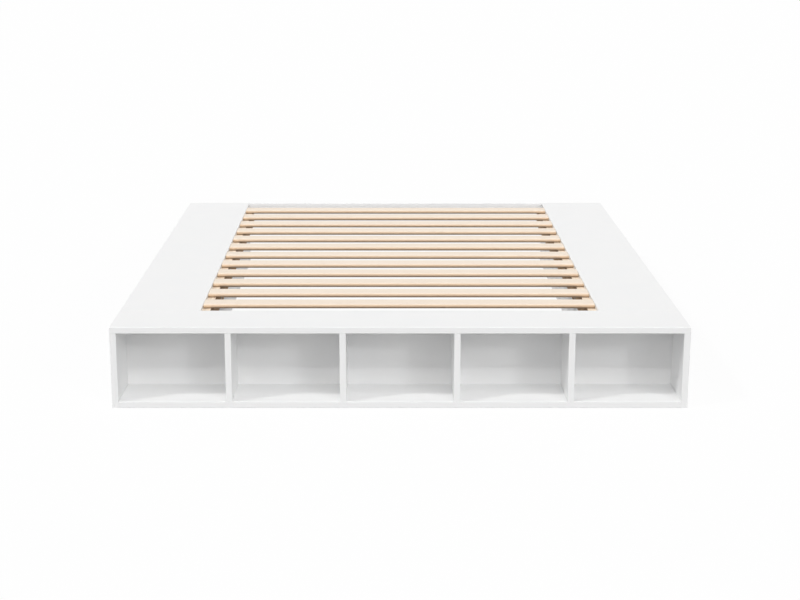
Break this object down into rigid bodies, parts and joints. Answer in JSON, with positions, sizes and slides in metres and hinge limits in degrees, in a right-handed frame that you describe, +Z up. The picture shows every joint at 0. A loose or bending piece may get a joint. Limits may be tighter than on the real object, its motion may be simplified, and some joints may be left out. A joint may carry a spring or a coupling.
{
  "type": "double bed frame",
  "caption": "Low white bed frame with open storage bays along the foot and sides, wide ledges and a level base of wooden cross slats that carries a double mattress.",
  "frame": {"origin": "on the floor under the middle of the bed", "axes": "+Z up, +Y from the foot end to the head end, +X to the right seen from the foot end"},
  "size_m": [1.984, 2.268, 0.288],
  "materials": {
    "white_board": "white melamine-faced board with a fine satin grain",
    "slat_wood": "pale planed wood, clear satin",
    "ledger_wood": "planed softwood",
    "dowel_wood": "turned hardwood",
    "fitting_steel": "zinc-plated steel"
  },
  "bodies": {
    "root": {"dowels": "dowel_wood", "foot_back_panel": "white_board", "foot_bottom_board": "white_board", "foot_divider_1": "white_board", "foot_divider_2": "white_board", "foot_divider_3": "white_board", "foot_divider_4": "white_board", "foot_left_end_panel": "white_board", "foot_right_end_panel": "white_board", "foot_top_board": "white_board", "head_brackets": "fitting_steel", "head_panel": "white_board", "left_back_panel": "white_board", "left_bottom_board": "white_board", "left_divider_1": "white_board", "left_divider_2": "white_board", "left_divider_3": "white_board", "left_divider_4": "white_board", "left_foot_end_panel": "white_board", "left_head_end_panel": "white_board", "left_slat_ledger": "ledger_wood", "left_top_board": "white_board", "right_back_panel": "white_board", "right_bottom_board": "white_board", "right_divider_1": "white_board", "right_divider_2": "white_board", "right_divider_3": "white_board", "right_divider_4": "white_board", "right_foot_end_panel": "white_board", "right_head_end_panel": "white_board", "right_slat_ledger": "ledger_wood", "right_top_board": "white_board", "slat_01": "slat_wood", "slat_02": "slat_wood", "slat_03": "slat_wood", "slat_04": "slat_wood", "slat_05": "slat_wood", "slat_06": "slat_wood", "slat_07": "slat_wood", "slat_08": "slat_wood", "slat_09": "slat_wood", "slat_10": "slat_wood", "slat_11": "slat_wood", "slat_12": "slat_wood", "unit_bolts": "fitting_steel"}
  },
  "joints": []
}
